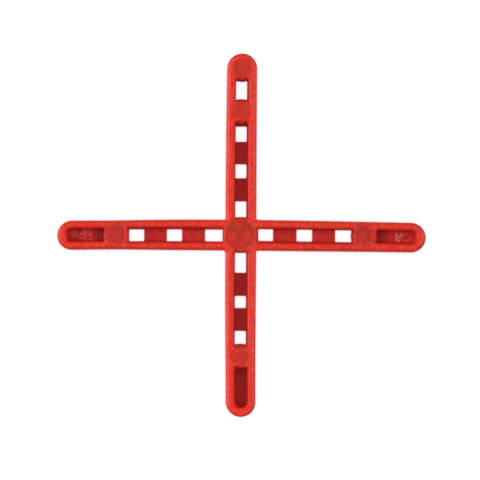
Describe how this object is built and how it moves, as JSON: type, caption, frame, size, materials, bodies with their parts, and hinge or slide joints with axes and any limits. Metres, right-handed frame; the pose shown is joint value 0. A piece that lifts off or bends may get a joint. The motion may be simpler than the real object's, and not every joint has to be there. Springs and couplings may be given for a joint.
{
  "type": "tile spacer",
  "caption": "Long cross-shaped floor and wall tile spacer, moulded in one piece, with open trough arms, windows through their floor and a round hub, for setting an even joint.",
  "frame": {"origin": "middle of the flat back, under the hub", "axes": "+X along the east arm, +Y along the north arm (the one with a second boss at its tip), +Z out of the open side"},
  "size_m": [0.0768, 0.0756, 0.005],
  "materials": {
    "red_plastic": "fine spark-eroded mould texture, with smoother round pin marks"
  },
  "bodies": {
    "root": {"spacer_cross": "red_plastic"}
  },
  "joints": []
}
